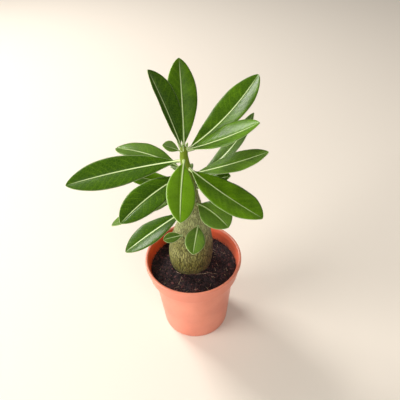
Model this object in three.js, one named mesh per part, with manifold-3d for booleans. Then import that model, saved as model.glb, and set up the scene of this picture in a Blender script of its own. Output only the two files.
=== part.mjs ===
// A young desert rose (Adenium) in a plain nursery pot. Millimetres, +Z up, +X to the right as one
// faces the plant and +Y away. The origin is the middle of the pot's flat underside.
import * as THREE from "three";
import { mergeVertices } from "three/addons/utils/BufferGeometryUtils.js";
import Module from "manifold-3d";

const wasm = await Module();
wasm.setup();

// Pot
const POT_HEIGHT = 98;
const RIM_RADIUS = 52;
const LIP_HEIGHT = 3;
const LIP_WIDTH = 2.6;
const COLLAR_RADIUS = 49;
const COLLAR_BOTTOM = 80;
const BODY_TOP_RADIUS = 44;
const BASE_RADIUS = 37.6;
const LEDGE_HEIGHT = 80.6;
const POT_WALL = 1.5;
const POT_FLOOR = 2;
const POT_SIDES = 52;
const EDGE_ROUND = 0.9;
const DRAIN_HOLES = 8;
const DRAIN_RADIUS = 3.5;
const DRAIN_CIRCLE = 28;

// Soil
const SOIL_TOP = 82.4;
const SOIL_RELIEF = 1.1;

// Gap that separate pieces keep where they meet
const SEAT_GAP = 0.3;

// Swollen base and stem: radius and centre at each height
const STEM_KNOTS = [
  { height: 52, radius: 5, x: -3, y: 7 },
  { height: 58, radius: 11, x: -3, y: 7.3 },
  { height: 68, radius: 16.5, x: -3, y: 8 },
  { height: 81, radius: 21.7, x: -2.7, y: 8.9 },
  { height: 92, radius: 23, x: -2.4, y: 7 },
  { height: 105, radius: 23.1, x: -2.1, y: 6.1 },
  { height: 120, radius: 21.6, x: -1, y: 5.5 },
  { height: 135, radius: 18.4, x: 0.5, y: 4.5 },
  { height: 150, radius: 14, x: 1, y: 3.5 },
  { height: 170, radius: 9.8, x: 1, y: 2.5 },
  { height: 190, radius: 7, x: 0, y: 1.5 },
  { height: 210, radius: 5.1, x: -1.5, y: 0.5 },
  { height: 228, radius: 3.8, x: -3.4, y: 0 },
  { height: 236.5, radius: 3.4, x: -3.1, y: 0 },
];
const STEM_RINGS = 30;
const STEM_SIDES = 28;
const STEM_DOME = 1.6;

// Leaf blade: outline, thickness and section
const OUTLINE_RISE = 1.05;
const OUTLINE_FALL = 0.72;
const BLADE_THICKNESS = 0.8;
const STALK_LENGTH = 3;
const STALK_HALF_WIDTH = 1.4;
const RIB_HALF_WIDTH = 1.3;
const RIB_DEPTH = 1.4;
const TIP_RIB = 0.25;
const CROWN = 0.025;
const WAVE = 0.03;
const LEAF_STATIONS = 13;
const SMALL_LEAF_STATIONS = 9;
const SMALL_LEAF = 40;
const MIDRIB_STEPS = 60;

// Leaves, from the growing tip down. Each one leaves the stem at a height, towards an azimuth
// (0 is +X, 90 is +Y). It rises, then bends and sweeps along its length, and its blade is rolled
// about the midrib and folded up along it. around is where on the stem it sits, if not at azimuth.
const LEAVES = [
  { name: "leaf_tip_left", height: 236.5, azimuth: 265, rise: 75, length: 7, width: 3.4, bend: 10,
    sweep: 0, roll: 0, fold: 30 },
  { name: "leaf_tip_right", height: 236.5, azimuth: 325, rise: 70, length: 8, width: 3.6, bend: 15,
    sweep: 0, roll: 0, fold: 30 },
  { name: "leaf_young", height: 235, azimuth: 181, rise: 27, length: 18.5, width: 12, bend: -5,
    sweep: 0, roll: -25, fold: 24, around: 240 },
  { name: "leaf_top_back", height: 234, azimuth: 89.5, rise: 44, length: 81.5, width: 29, bend: 10,
    sweep: 5, roll: 20, fold: 9 },
  { name: "leaf_top_right", height: 233.5, azimuth: 37, rise: 11, length: 99.5, width: 32, bend: 30,
    sweep: 5, roll: 5, fold: 14 },
  { name: "leaf_top_left", height: 234, azimuth: 136, rise: 68, length: 73.5, width: 29, bend: -10,
    sweep: 5, roll: 10, fold: 29 },
  { name: "leaf_top_far_right", height: 235, azimuth: -4, rise: 16.5, length: 68, width: 34, bend: 15,
    sweep: 0, roll: 0, fold: 11 },
  { name: "leaf_front", height: 226.5, azimuth: 265.5, rise: 0, length: 77.5, width: 25, bend: -5,
    sweep: 5, roll: -20, fold: 6 },
  { name: "leaf_left_long", height: 224, azimuth: 187, rise: -2, length: 103, width: 31, bend: -4,
    sweep: 10, roll: -25, fold: 8 },
  { name: "leaf_right_broad", height: 217, azimuth: 315, rise: -13.5, length: 83, width: 38, bend: 8,
    sweep: 5, roll: -5, fold: 6 },
  { name: "leaf_left_arched", height: 213, azimuth: 160, rise: 24, length: 70, width: 27, bend: -35,
    sweep: -5, roll: 0, fold: 9 },
  { name: "leaf_right_level", height: 208, azimuth: -1, rise: 13, length: 72.5, width: 26, bend: 10,
    sweep: 0, roll: 5, fold: 6 },
  { name: "leaf_left_front", height: 209, azimuth: 228, rise: 12.5, length: 78.5, width: 29, bend: -30,
    sweep: 0, roll: -15, fold: 9 },
  { name: "leaf_right_behind", height: 198, azimuth: 30, rise: 12, length: 87, width: 21, bend: 50,
    sweep: 0, roll: -5, fold: 12 },
  { name: "leaf_left_mid", height: 199, azimuth: 174, rise: -8, length: 58, width: 23, bend: 30,
    sweep: -5, roll: 0, fold: 9 },
  { name: "leaf_back_mid", height: 196, azimuth: 100, rise: -5, length: 66, width: 24, bend: -40,
    sweep: 0, roll: 0, fold: 12 },
  { name: "leaf_right_under", height: 191, azimuth: -14, rise: 38, length: 39, width: 20, bend: -15,
    sweep: 0, roll: 10, fold: 9 },
  { name: "leaf_left_under", height: 186, azimuth: 215, rise: 8, length: 76, width: 29, bend: -15,
    sweep: -5, roll: 20, fold: 6 },
  { name: "leaf_back_right", height: 184, azimuth: 60, rise: -10, length: 64, width: 24, bend: -40,
    sweep: 0, roll: 0, fold: 12 },
  { name: "leaf_back_left", height: 178, azimuth: 138, rise: 0, length: 60, width: 24, bend: -40,
    sweep: 0, roll: 0, fold: 12 },
  { name: "leaf_right_droop", height: 175, azimuth: 313.5, rise: 17, length: 43.5, width: 29, bend: -45,
    sweep: 0, roll: 15, fold: 8 },
  { name: "leaf_left_low", height: 165, azimuth: 215, rise: -7, length: 69, width: 27, bend: -15,
    sweep: -5, roll: 0, fold: 8 },
  { name: "leaf_base_front", height: 151, azimuth: 261, rise: 5, length: 38, width: 20, bend: -20,
    sweep: 0, roll: -10, fold: 10, around: 301 },
  { name: "leaf_base_side", height: 139, azimuth: 198, rise: 5, length: 22, width: 12, bend: -10,
    sweep: -5, roll: -20, fold: 8, around: 239 },
];

const radians = THREE.MathUtils.degToRad;
const mix = THREE.MathUtils.lerp;
const clamp = THREE.MathUtils.clamp;

// Solids

function toSolid(geometry) {
  const bare = geometry.index ? geometry.toNonIndexed() : geometry.clone();
  bare.deleteAttribute("normal");
  bare.deleteAttribute("uv");
  const merged = mergeVertices(bare, 1e-4);
  const corners = merged.index.array;
  const kept = [];
  for (let i = 0; i < corners.length; i += 3) {
    const [a, b, c] = corners.subarray(i, i + 3);
    if (a !== b && b !== c && c !== a) kept.push(a, b, c);
  }
  return new wasm.Manifold(
    new wasm.Mesh({
      numProp: 3,
      vertProperties: new Float32Array(merged.attributes.position.array),
      triVerts: new Uint32Array(kept),
    }),
  );
}

function toGeometry(solid) {
  const mesh = solid.getMesh();
  const geometry = new THREE.BufferGeometry();
  geometry.setAttribute("position", new THREE.BufferAttribute(mesh.vertProperties, 3));
  geometry.setIndex(new THREE.BufferAttribute(mesh.triVerts, 1));
  geometry.computeVertexNormals();
  return geometry;
}

function meshOf(name, solid, material) {
  const mesh = new THREE.Mesh(toGeometry(solid), material);
  mesh.name = name;
  return mesh;
}

function geometryFrom(points, triangles) {
  const geometry = new THREE.BufferGeometry().setFromPoints(points);
  geometry.setIndex(triangles);
  return geometry;
}

// A profile of [radius, height] points turned about the upright axis.
function turned(profile, sides) {
  const points = profile.map(([radius, height]) => new THREE.Vector2(radius, height));
  return new THREE.LatheGeometry(points, sides).rotateX(Math.PI / 2);
}

// A smooth value between knots: a cubic through them, with slopes taken from their neighbours.
function smoothAt(knots, key, height) {
  const last = knots.length - 1;
  let i = 0;
  while (i < last - 1 && height > knots[i + 1].height) i += 1;
  const slope = (n) => {
    const before = knots[Math.max(n - 1, 0)];
    const after = knots[Math.min(n + 1, last)];
    return (after[key] - before[key]) / (after.height - before.height);
  };
  const from = knots[i];
  const to = knots[i + 1];
  const span = to.height - from.height;
  const u = clamp((height - from.height) / span, 0, 1);
  const ease = u * u * (3 - 2 * u);
  const start = u * (1 - u) * (1 - u);
  const end = u * u * (u - 1);
  return mix(from[key], to[key], ease) + span * (slope(i) * start + slope(i + 1) * end);
}

// Pot

function potProfile() {
  const lipBottom = POT_HEIGHT - LIP_HEIGHT;
  const innerCollar = COLLAR_RADIUS - POT_WALL;
  const innerBody = BODY_TOP_RADIUS - POT_WALL;
  return [
    [0, 0],
    [BASE_RADIUS - 2 * EDGE_ROUND, 0],
    [BASE_RADIUS - 0.6 * EDGE_ROUND, 0.6 * EDGE_ROUND],
    [BASE_RADIUS, 2 * EDGE_ROUND],
    [BODY_TOP_RADIUS, COLLAR_BOTTOM - 0.8],
    [COLLAR_RADIUS - EDGE_ROUND, COLLAR_BOTTOM],
    [COLLAR_RADIUS - 0.4 * EDGE_ROUND, COLLAR_BOTTOM + 0.6 * EDGE_ROUND],
    [COLLAR_RADIUS, lipBottom - 0.3],
    [RIM_RADIUS - 0.5 * EDGE_ROUND, lipBottom],
    [RIM_RADIUS, lipBottom + 0.5 * EDGE_ROUND],
    [RIM_RADIUS, POT_HEIGHT - EDGE_ROUND],
    [RIM_RADIUS - EDGE_ROUND, POT_HEIGHT],
    [RIM_RADIUS - LIP_WIDTH + EDGE_ROUND, POT_HEIGHT],
    [RIM_RADIUS - LIP_WIDTH, POT_HEIGHT - EDGE_ROUND],
    [innerCollar, lipBottom - 2],
    [innerCollar - 0.3, LEDGE_HEIGHT + 0.8],
    [innerBody, LEDGE_HEIGHT],
    [BASE_RADIUS - POT_WALL, POT_FLOOR + 1.5],
    [BASE_RADIUS - POT_WALL - 1.5, POT_FLOOR],
    [0, POT_FLOOR],
  ];
}

function drainHole(index) {
  const angle = (index * 2 * Math.PI) / DRAIN_HOLES;
  const hole = new THREE.CylinderGeometry(DRAIN_RADIUS, DRAIN_RADIUS, 3 * POT_FLOOR, 12);
  hole.rotateX(Math.PI / 2);
  hole.translate(DRAIN_CIRCLE * Math.cos(angle), DRAIN_CIRCLE * Math.sin(angle), POT_FLOOR / 2);
  return toSolid(hole);
}

function potSolid() {
  let pot = toSolid(turned(potProfile(), POT_SIDES));
  for (let i = 0; i < DRAIN_HOLES; i += 1) pot = pot.subtract(drainHole(i));
  return pot;
}

// Swollen base and stem

// How far the outline swells in and out of round, as a share of the radius.
function stemLobes(angle, height) {
  const swollen = clamp((180 - height) / 80, 0, 1);
  return 1 + swollen * (0.02 * Math.sin(2 * angle + 0.6) + 0.015 * Math.sin(5 * angle + height / 17));
}

function stemCentre(height) {
  return new THREE.Vector3(
    smoothAt(STEM_KNOTS, "x", height),
    smoothAt(STEM_KNOTS, "y", height),
    height,
  );
}

function stemRing(height, growth, shrink) {
  const centre = stemCentre(height);
  const radius = smoothAt(STEM_KNOTS, "radius", height) * shrink;
  return Array.from({ length: STEM_SIDES }, (_, side) => {
    const angle = (2 * Math.PI * side) / STEM_SIDES;
    const reach = radius * stemLobes(angle, height) + growth;
    return new THREE.Vector3(
      centre.x + reach * Math.cos(angle),
      centre.y + reach * Math.sin(angle),
      height,
    );
  });
}

// The stem grown outwards by a margin, so that the same form also cuts the seats around it.
function stemSolid(growth = 0) {
  const bottom = STEM_KNOTS[0].height;
  const top = STEM_KNOTS.at(-1).height;
  const points = [];
  for (let ring = 0; ring <= STEM_RINGS; ring += 1) {
    points.push(...stemRing(mix(bottom, top, ring / STEM_RINGS), growth, 1));
  }
  for (let side = 0; side < STEM_SIDES; side += 1) points[side].z -= growth;
  const dome = stemRing(top, growth, 0.6);
  dome.forEach((point) => {
    point.z += STEM_DOME + growth;
  });
  points.push(...dome);
  const rings = STEM_RINGS + 2;
  const foot = points.push(stemCentre(bottom).setZ(bottom - 2 - 2 * growth)) - 1;
  const crown = points.push(stemCentre(top).setZ(top + STEM_DOME + 0.6 + growth)) - 1;
  const triangles = [];
  for (let side = 0; side < STEM_SIDES; side += 1) {
    const next = (side + 1) % STEM_SIDES;
    for (let ring = 0; ring < rings - 1; ring += 1) {
      const a = ring * STEM_SIDES + side;
      const b = ring * STEM_SIDES + next;
      triangles.push(a, b, b + STEM_SIDES);
      triangles.push(a, b + STEM_SIDES, a + STEM_SIDES);
    }
    const upper = (rings - 1) * STEM_SIDES;
    triangles.push(foot, next, side);
    triangles.push(crown, upper + side, upper + next);
  }
  return toSolid(geometryFrom(points, triangles));
}

// Soil

function soilRelief(x, y) {
  const broad = Math.sin(0.21 * x + 0.8) * Math.cos(0.17 * y - 0.4);
  const clods = Math.sin(0.52 * x + 0.31 * y) * Math.sin(0.47 * y - 0.23 * x + 1.3);
  return SOIL_RELIEF * (0.5 * broad + 0.5 * clods);
}

function soilSolid() {
  const innerCollar = COLLAR_RADIUS - POT_WALL - 0.6 - SEAT_GAP;
  const innerBody = BODY_TOP_RADIUS - POT_WALL - SEAT_GAP;
  const innerBase = BASE_RADIUS - POT_WALL - SEAT_GAP;
  const rings = [0.9, 0.8, 0.7, 0.6, 0.5, 0.35, 0.2];
  const top = rings.map((share) => [innerCollar * share, SOIL_TOP]);
  const geometry = turned(
    [
      [0, POT_FLOOR + SEAT_GAP],
      [innerBase - 1.7, POT_FLOOR + SEAT_GAP],
      [innerBase, POT_FLOOR + 1.9],
      [innerBody, LEDGE_HEIGHT + 0.4],
      [innerCollar, LEDGE_HEIGHT + 1.3],
      [innerCollar, SOIL_TOP],
      ...top,
      [0, SOIL_TOP],
    ],
    POT_SIDES,
  );
  const position = geometry.attributes.position;
  for (let i = 0; i < position.count; i += 1) {
    if (position.getZ(i) < SOIL_TOP - 0.1) continue;
    const x = position.getX(i);
    const y = position.getY(i);
    const flatness = clamp(Math.hypot(x, y) / innerCollar, 0, 1) ** 6;
    position.setZ(i, SOIL_TOP + (1 - flatness) * soilRelief(x, y));
  }
  return toSolid(geometry).subtract(stemSolid(SEAT_GAP));
}

// Leaves

// Blade width at a share of the length, as a share of the widest place.
function outlineAt(share) {
  const widest = OUTLINE_RISE / (OUTLINE_RISE + OUTLINE_FALL);
  const u = clamp(share, 0, 1);
  return (u / widest) ** OUTLINE_RISE * ((1 - u) / (1 - widest)) ** OUTLINE_FALL;
}

function halfWidthAt(leaf, share) {
  const stalk = STALK_LENGTH / leaf.length;
  const blade = (leaf.width / 2) * outlineAt((share - stalk) / (1 - stalk));
  return Math.max(blade, STALK_HALF_WIDTH * (1.02 - share) ** 0.2 * stalkScale(leaf));
}

function stalkScale(leaf) {
  return clamp(leaf.length / 40, 0.5, 1);
}

function leafRoot(leaf) {
  const around = radians(leaf.around ?? leaf.azimuth);
  const radius = smoothAt(STEM_KNOTS, "radius", leaf.height);
  const depth = Math.max(0.8 * radius, radius - 2);
  const root = stemCentre(leaf.height);
  root.x += depth * Math.cos(around);
  root.y += depth * Math.sin(around);
  return root;
}

// The direction of the midrib, and the blade's own up and side directions, at a share of the length.
function leafFrame(leaf, share) {
  const pitch = radians(leaf.rise + leaf.bend * share);
  const turn = radians(leaf.azimuth + leaf.sweep * share);
  const along = new THREE.Vector3(
    Math.cos(pitch) * Math.cos(turn),
    Math.cos(pitch) * Math.sin(turn),
    Math.sin(pitch),
  );
  const up = new THREE.Vector3(
    -Math.sin(pitch) * Math.cos(turn),
    -Math.sin(pitch) * Math.sin(turn),
    Math.cos(pitch),
  );
  const roll = radians(leaf.roll);
  up.applyAxisAngle(along, roll);
  const side = new THREE.Vector3().crossVectors(along, up);
  return { along, up, side };
}

function midribPoints(leaf) {
  const points = [leafRoot(leaf)];
  for (let i = 0; i < MIDRIB_STEPS; i += 1) {
    const { along } = leafFrame(leaf, (i + 0.5) / MIDRIB_STEPS);
    points.push(points[i].clone().addScaledVector(along, leaf.length / MIDRIB_STEPS));
  }
  return points;
}

// The blade in rows from stalk to tip, each with seven points across on its top and on its underside.
function leafGrid(leaf, phase) {
  const stations = leaf.length < SMALL_LEAF ? SMALL_LEAF_STATIONS : LEAF_STATIONS;
  const midrib = midribPoints(leaf);
  const fold = radians(leaf.fold);
  const top = [];
  const underside = [];
  for (let row = 0; row <= stations; row += 1) {
    const share = 0.5 - 0.5 * Math.cos((Math.PI * row) / stations);
    const { up, side } = leafFrame(leaf, share);
    const step = share * MIDRIB_STEPS;
    const low = Math.min(Math.floor(step), MIDRIB_STEPS - 1);
    const centre = midrib[low].clone().lerp(midrib[low + 1], step - low);
    const half = halfWidthAt(leaf, share);
    const scale = stalkScale(leaf);
    const ribShare = Math.min((scale * (RIB_HALF_WIDTH * (1 - share) + TIP_RIB)) / half, 0.45);
    const ribDepth = scale * (RIB_DEPTH * (1 - share) + TIP_RIB);
    const middle = (1 + ribShare) / 2;
    const across = [-1, -middle, -ribShare, 0, ribShare, middle, 1];
    const ribs = [0, 0, 0.4, 1, 0.4, 0, 0];
    const wave = WAVE * Math.sin(3 * Math.PI * share + phase);
    across.forEach((place, column) => {
      const out = Math.abs(place);
      const lift = half * (Math.sin(fold) * out + CROWN * Math.sin(Math.PI * out) + wave * out * place);
      const point = centre
        .clone()
        .addScaledVector(side, half * place * Math.cos(fold))
        .addScaledVector(up, lift);
      top.push(point.clone().addScaledVector(up, BLADE_THICKNESS / 2));
      const depth = BLADE_THICKNESS / 2 + ribDepth * ribs[column];
      underside.push(point.clone().addScaledVector(up, -depth));
    });
  }
  return { top, underside, stations, columns: 6 };
}

// Both faces are split along the same diagonals, so that they never cross.
function leafSolid(leaf, phase) {
  const { top, underside, stations, columns } = leafGrid(leaf, phase);
  const width = columns + 1;
  const under = top.length;
  const triangles = [];
  for (let row = 0; row < stations; row += 1) {
    for (let column = 0; column < columns; column += 1) {
      const a = row * width + column;
      const b = a + 1;
      const c = a + width + 1;
      const d = a + width;
      triangles.push(a, b, c, a, c, d);
      triangles.push(under + a, under + c, under + b, under + a, under + d, under + c);
    }
    const left = row * width;
    const right = left + columns;
    triangles.push(left, left + width, under + left + width);
    triangles.push(left, under + left + width, under + left);
    triangles.push(right, under + right + width, right + width);
    triangles.push(right, under + right, under + right + width);
  }
  const last = stations * width;
  for (let column = 0; column < columns; column += 1) {
    triangles.push(column, under + column, under + column + 1);
    triangles.push(column, under + column + 1, column + 1);
    const a = last + column;
    triangles.push(a, under + a + 1, under + a);
    triangles.push(a, a + 1, under + a + 1);
  }
  return toSolid(geometryFrom([...top, ...underside], triangles));
}

// Materials

const potMaterial = new THREE.MeshStandardMaterial({ color: 0xd9805f, roughness: 0.5, metalness: 0 });
const soilMaterial = new THREE.MeshStandardMaterial({ color: 0x2c2020, roughness: 0.95, metalness: 0 });
const barkMaterial = new THREE.MeshStandardMaterial({ color: 0x7a7240, roughness: 0.75, metalness: 0 });
const leafMaterial = new THREE.MeshStandardMaterial({ color: 0x3c7a1c, roughness: 0.35, metalness: 0 });

// The whole part

const holder = new THREE.Group();
holder.add(meshOf("pot", potSolid(), potMaterial));
holder.add(meshOf("soil", soilSolid(), soilMaterial));

const plant = new THREE.Group();
plant.add(meshOf("caudex_stem", stemSolid(), barkMaterial));
const seat = stemSolid(SEAT_GAP);
LEAVES.forEach((leaf, index) => {
  plant.add(meshOf(leaf.name, leafSolid(leaf, index).subtract(seat), leafMaterial));
});

const pottedPlant = new THREE.Group();
pottedPlant.add(holder, plant);

export default pottedPlant;
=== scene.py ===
"""A young desert rose in a plain nursery pot: leaves, swollen stem, potting mix and pot in full detail.

Tables are in millimetres, meshes in metres. +Z is up, +X to the right as one faces the plant, and the
origin is the middle of the pot's underside.
"""

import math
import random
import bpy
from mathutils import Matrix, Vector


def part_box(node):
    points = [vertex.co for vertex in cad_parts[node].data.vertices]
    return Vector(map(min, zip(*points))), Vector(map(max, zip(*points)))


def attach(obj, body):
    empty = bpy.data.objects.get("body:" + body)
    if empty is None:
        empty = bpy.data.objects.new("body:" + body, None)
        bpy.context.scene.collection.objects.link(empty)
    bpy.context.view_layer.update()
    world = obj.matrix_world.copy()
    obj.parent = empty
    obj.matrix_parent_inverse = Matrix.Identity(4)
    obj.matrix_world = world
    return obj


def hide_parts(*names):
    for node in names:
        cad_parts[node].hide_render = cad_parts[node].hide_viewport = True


bl_info = {
    "name": "Potted Desert Rose",
    "version": (1, 0, 0),
    "blender": (4, 5, 0),
    "location": "3D View > Sidebar > Desert Rose",
    "description": "Builds a young desert rose with a swollen base and glossy leaves in a nursery pot",
    "category": "Add Mesh",
}

from collections import namedtuple

import bmesh
import bpy
import numpy as np
from bpy.props import FloatProperty, FloatVectorProperty, IntProperty, PointerProperty
from mathutils import Matrix, Vector, noise

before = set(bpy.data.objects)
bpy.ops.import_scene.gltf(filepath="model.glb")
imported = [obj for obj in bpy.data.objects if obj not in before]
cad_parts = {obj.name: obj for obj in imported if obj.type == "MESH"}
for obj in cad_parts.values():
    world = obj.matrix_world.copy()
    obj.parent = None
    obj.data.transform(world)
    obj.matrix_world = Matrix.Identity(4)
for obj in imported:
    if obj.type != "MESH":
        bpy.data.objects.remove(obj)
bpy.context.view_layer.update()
MM = 0.001

POT_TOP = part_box("pot")[1].z
RIM_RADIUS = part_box("pot")[1].x
LEAF_NODES = [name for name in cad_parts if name.startswith("leaf_")]

# Swollen base and stem: height, radius and centre, in millimetres
STEM_KNOTS = [
    (52, 5, -3, 7),
    (58, 11, -3, 7.3),
    (68, 16.5, -3, 8),
    (81, 21.7, -2.7, 8.9),
    (92, 23, -2.4, 7),
    (105, 23.1, -2.1, 6.1),
    (120, 21.6, -1, 5.5),
    (135, 18.4, 0.5, 4.5),
    (150, 14, 1, 3.5),
    (170, 9.8, 1, 2.5),
    (190, 7, 0, 1.5),
    (210, 5.1, -1.5, 0.5),
    (228, 3.8, -3.4, 0),
    (236.5, 3.4, -3.1, 0),
]

# Leaves from the growing tip down, in millimetres and degrees. Each leaves the stem at a height, towards
# an azimuth (0 is +X, 90 is +Y), rises, then bends and sweeps along its length. Its blade is rolled about
# the midrib and folded up along it. tone goes from 0, deep green, to 1, bright yellow-green, around is
# where on the stem it sits, if not at its azimuth, and dull is how far a leaf is greyed and
# loses its gloss: partly an old leaf's lost green, partly painted sheen haze.
Leaf = namedtuple(
    "Leaf", "name height azimuth rise length width bend sweep roll fold tone around dull", defaults=[None, 0]
)
LEAVES = [
    Leaf("leaf_tip_left", 236.5, 265, 75, 7, 3.4, 10, 0, 0, 30, 0.9),
    Leaf("leaf_tip_right", 236.5, 325, 70, 8, 3.6, 15, 0, 0, 30, 0.9),
    Leaf("leaf_young", 235, 181, 27, 18.5, 12, -5, 0, -25, 24, 0.2, 240, 0.45),
    Leaf("leaf_top_back", 234, 89.5, 44, 81.5, 29, 10, 5, 20, 9, 0.4),
    Leaf("leaf_top_right", 233.5, 37, 11, 99.5, 32, 30, 5, 5, 14, 0.25),
    Leaf("leaf_top_left", 234, 136, 68, 73.5, 29, -10, 5, 10, 29, 0.15),
    Leaf("leaf_top_far_right", 235, -4, 16.5, 68, 34, 15, 0, 0, 11, 0.4),
    Leaf("leaf_front", 226.5, 265.5, 0, 77.5, 25, -5, 5, -20, 6, 0.85),
    Leaf("leaf_left_long", 224, 187, -2, 103, 31, -4, 10, -25, 8, 0.08),
    Leaf("leaf_right_broad", 217, 315, -13.5, 83, 38, 8, 5, -5, 6, 0.5),
    Leaf("leaf_left_arched", 213, 160, 24, 70, 27, -35, -5, 0, 9, 0.3, dull=0.25),
    Leaf("leaf_right_level", 208, -1, 13, 72.5, 26, 10, 0, 5, 6, 0.35, dull=0.2),
    Leaf("leaf_left_front", 209, 228, 12.5, 78.5, 29, -30, 0, -15, 9, 0.1),
    Leaf("leaf_right_behind", 198, 30, 12, 87, 21, 50, 0, -5, 12, 0, dull=0.25),
    Leaf("leaf_left_mid", 199, 174, -8, 58, 23, 30, -5, 0, 9, 0.8),
    Leaf("leaf_back_mid", 196, 100, -5, 66, 24, -40, 0, 0, 12, 0.3),
    Leaf("leaf_right_under", 191, -14, 38, 39, 20, -15, 0, 10, 9, 0.2),
    Leaf("leaf_left_under", 186, 215, 8, 76, 29, -15, -5, 20, 6, 0.7, dull=0.45),
    Leaf("leaf_back_right", 184, 60, -10, 64, 24, -40, 0, 0, 12, 0.3),
    Leaf("leaf_back_left", 178, 138, 0, 60, 24, -40, 0, 0, 12, 0.35),
    Leaf("leaf_right_droop", 175, 313.5, 17, 43.5, 29, -45, 0, 15, 8, 0.5, dull=0.35),
    Leaf("leaf_left_low", 165, 215, -7, 69, 27, -15, -5, 0, 8, 0),
    Leaf("leaf_base_front", 151, 261, 5, 38, 20, -20, 0, -10, 10, 0.4, 301, 0.4),
    Leaf("leaf_base_side", 139, 198, 5, 22, 12, -10, -5, -20, 8, 0.2, 239, 0.3),
]
YOUNG_LEAVES = ("leaf_tip_left", "leaf_tip_right", "leaf_young")

# Leaf blade, in millimetres, or as shares of its half width. The outline widens from the stalk and narrows
# to the tip as two powers.
OUTLINE_RISE = 1.05
OUTLINE_FALL = 0.72
BLADE_THICKNESS = 0.8
STALK_LENGTH = 3
STALK_HALF_WIDTH = 1.4
RIB_HALF_WIDTH = 1.3
RIB_DEPTH = 1.4
TIP_RIB = 0.25
FOLD_SOFTNESS = 0.04
CROWN = 0.025
WAVE = 0.03
EDGE_DROP = 0.012
RUFFLE = 0.012
FULL_SIZE_LEAF = 40
BEAD_HALF_WIDTH = 0.62
TIP_BEAD = 0.36
FURROW_DEPTH = 0.18
STALK_ROUND = 0.7
PALE_LINE_HALF_WIDTH = 0.5
TIP_PALE_LINE = 0.21
VEIN_SPACING = 7
VEIN_SLANT = 0.85
VEIN_CURVE = 0.014
VEIN_STAGGER = 0.4
MIDRIB_STEPS = 600
ROWS_PER_MILLIMETRE = 1.3
ROW_BOUNDS = (24, 124)
HALF_COLUMNS = 20
SMALL_HALF_COLUMNS = 14

# Stem, in millimetres and radians. The bands are rings of points from one height to another. The pairs
# after them are where along its height, or across it, one look gives way to the next.
STEM_SIDES = 200
STEM_BANDS = [(52, 80, 12), (80, 150, 130), (150, STEM_KNOTS[-1][0], 170)]
STEM_DOME = [(0.93, 0.6), (0.75, 1.2), (0.5, 1.65), (0.22, 1.9)]
DOME_RISE = 0.15
FOOT_DIP = 2
FOLD_SIZE = 1.5
FOLD_SQUEEZE = 0.22
LUMP_SIZE = 9
LUMP_HEIGHT = 0.45
SCAR_FIRST = 124
SCAR_LAST = 218
SCAR_WIDE = 1.7
SCAR_TALL = 0.95
GOLDEN_TURN = math.radians(137.5)
OPEN_AIR = (78, 82)
LOW_SKIN = (90, 116)
SWOLLEN_END = (100, 180)
SCARS_RISE = (118, 132)
NECK_START = (122, 150)
NECK_END = (156, 186)
SMOOTH_SKIN = (165, 205)
YOUNG_SKIN = (176, 204)
# Across X, where the painted shade begins: the skin turns browner on the +X side, away from the lights.
PAINTED_SHADE_SIDE = (4, 21)

# Potting mix, in millimetres. A crumb's size is a share of the common size, between two bounds.
SOIL_TOP = 82.4
SOIL_RELIEF = 1.1
SEAT_GAP = 0.3
SEAT_HEIGHTS = (52, 58, 64, 70, 76, 80)
SEAT_DIP = 1.5
COLLAR_DRAFT = 0.6
SOIL_FOOT = 2.3
SOIL_SIDES = 300
SOIL_ROWS = 74
GRAIN_SIZE = 2.2
CLOD_SIZE = 6.5
CLOD_HEIGHT = 0.5
MOUND = 0.4
CRUMB_MARGIN = 1.2
LARGE_CRUMB_SHARE = 0.1
LARGE_CRUMB = (1.6, 2.6)
COMMON_CRUMB = (0.55, 1.4)
CRUMB_EDGE = math.radians(40)
FIBRE_COUNT = 38
FIBRE_CLEARANCE = 24
LONG_FIBRE_LIFT = 2.1
LONG_FIBRE_RADIUS = 0.18
# The long fibres by the stem, each as points (x, y)
LONG_FIBRES = [
    [(-4.3, -14.6), (2.4, -14), (10, -13.6), (18.7, -14.2), (25, -15.5)],
    [(-13.2, -17.6), (-14.3, -21.9), (-16.2, -27.1)],
    [(-19.3, -9.8), (-17.6, -11.4), (-15.4, -12.2), (-13.2, -13.6)],
]

# Pot, in millimetres. The pairs are where one look gives way to the next.
LIP_HEIGHT = 3
LIP_WIDTH = 2.6
COLLAR_RADIUS = 49
COLLAR_BOTTOM = 80
BODY_TOP_RADIUS = 44
BASE_RADIUS = 37.6
LEDGE_HEIGHT = 80.6
POT_WALL = 1.5
POT_FLOOR = 2
DRAIN_HOLES = 8
DRAIN_RADIUS = 3.5
DRAIN_CIRCLE = 28
DRAIN_SIDES = 40
ROUND_STEPS = 5
SHARP_EDGE = math.radians(35)
MIX_RADIUS = COLLAR_RADIUS - POT_WALL - COLLAR_DRAFT - SEAT_GAP
# Across X, where the inner wall turns paler: painted light on the inner side that faces the lights.
PAINTED_LIGHT_SIDE = (0, 45)
DAMP_EDGE = (83, 86)
DUSTY_FOOT = (0, 9)

# The photograph's view: where the eye is, in metres, and how it is turned, in degrees
EYE = (0.0095, -0.3182, 0.4480)
LOOK_DOWN = 40.43
VIEW_ROLL = -1.98
FOCAL_PIXELS = 433
FRAME_PIXELS = 400

# Soft lights: name, place and size in metres, and the setting that holds the power
LIGHTS = [
    ("side_light", (-1.5, -0.55, 0.75), (1.1, 1.1), "side_power"),
    ("window_light", (-1.0, 0.95, 1.25), (0.6, 0.5), "window_power"),
    ("fill_light", (0.3, -1.7, 1.5), (1.4, 1.4), "fill_power"),
]
FLOOR_REACH = 6
WARM_WHITE = (1.0, 0.97, 0.93)


# Meshes


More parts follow.
